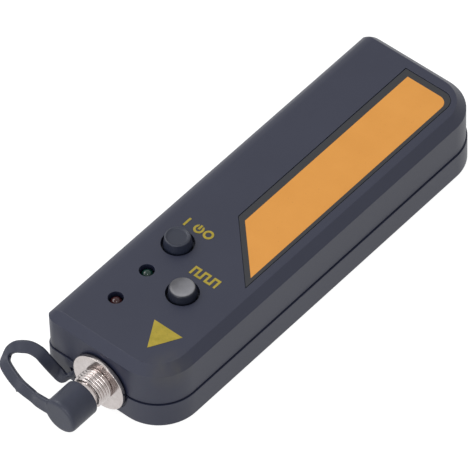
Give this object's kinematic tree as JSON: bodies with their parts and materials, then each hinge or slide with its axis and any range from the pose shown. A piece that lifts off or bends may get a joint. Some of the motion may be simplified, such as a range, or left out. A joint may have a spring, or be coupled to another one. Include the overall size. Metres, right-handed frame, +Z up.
{
  "type": "visual fault locator",
  "caption": "Pocket fibre tester: a two-shell plastic case with push buttons, indicator lamps, a threaded fibre port with a tethered rubber cap, and a sliding battery door underneath.",
  "frame": {"origin": "on the underside, at the middle of the case's width and length", "axes": "+X across the case towards its right side, +Y along the case from the fibre port to the back, +Z up through the keypad face"},
  "size_m": [0.0397, 0.1228, 0.0203],
  "materials": {
    "case_plastic": "fine moulded texture, charcoal",
    "label_black": "printed film, black border",
    "label_orange": "printed film, orange field",
    "ink_yellow": "screen-printed ink",
    "button_plastic": "moulded charcoal",
    "button_gloss": "moulded charcoal, smooth top",
    "switch_plastic": "moulded black",
    "plunger_plastic": "moulded off-white",
    "lamp_green": "tinted lens",
    "lamp_red": "tinted lens",
    "board_laminate": "solder mask",
    "steel": "zinc plated",
    "nickel": "bright nickel plate on brass",
    "ceramic": "polished zirconia",
    "rubber": "moulded soft rubber",
    "brass": "turned",
    "gilt_steel": "gilt can",
    "lens_glass": "polished",
    "cell_wrap": "bare blue wrap"
  },
  "bodies": {
    "case": {"top_shell": "case_plastic", "bottom_shell": "case_plastic", "label_film": "label_black", "label_field": "label_orange", "printed_marks": "ink_yellow", "power_switch": "switch_plastic", "mode_switch": "switch_plastic", "green_lamp": "lamp_green", "red_lamp": "lamp_red", "circuit_board": "board_laminate", "driver_chip": "switch_plastic", "trimmer": "steel", "board_screws": "steel", "case_screws": "steel", "port": "nickel", "ceramic_sleeve": "ceramic", "port_nut": "nickel", "strap_ring": "rubber", "cap_strap": "rubber", "laser_barrel": "brass", "laser_diode": "gilt_steel", "focus_lens": "lens_glass", "lens_retainer": "brass", "left_cell": "cell_wrap", "right_cell": "cell_wrap", "contact_positive": "steel", "contact_negative": "steel", "contact_link": "steel"},
    "power_key": {"power_button": "button_plastic", "power_plunger": "plunger_plastic"},
    "mode_key": {"mode_button": "button_gloss", "mode_plunger": "plunger_plastic"},
    "cap": {"dust_cap": "rubber"},
    "door": {"battery_door": "case_plastic"}
  },
  "joints": [
    {"name": "power_press", "type": "slide", "parent": "case", "child": "power_key", "axis": [0, 0, -1], "range_m": [0, 0.001], "stiffness_N_per_m": 1200, "springref_m": -0.0006},
    {"name": "mode_press", "type": "slide", "parent": "case", "child": "mode_key", "axis": [0, 0, -1], "range_m": [0, 0.001], "stiffness_N_per_m": 1200, "springref_m": -0.0006},
    {"name": "cap_pull", "type": "slide", "parent": "case", "child": "cap", "axis": [0, -1, 0], "range_m": [0, 0.012], "deforming": ["cap_strap"]},
    {"name": "door_slide", "type": "slide", "parent": "case", "child": "door", "axis": [0, 1, 0], "range_m": [0, 0.054]}
  ]
}
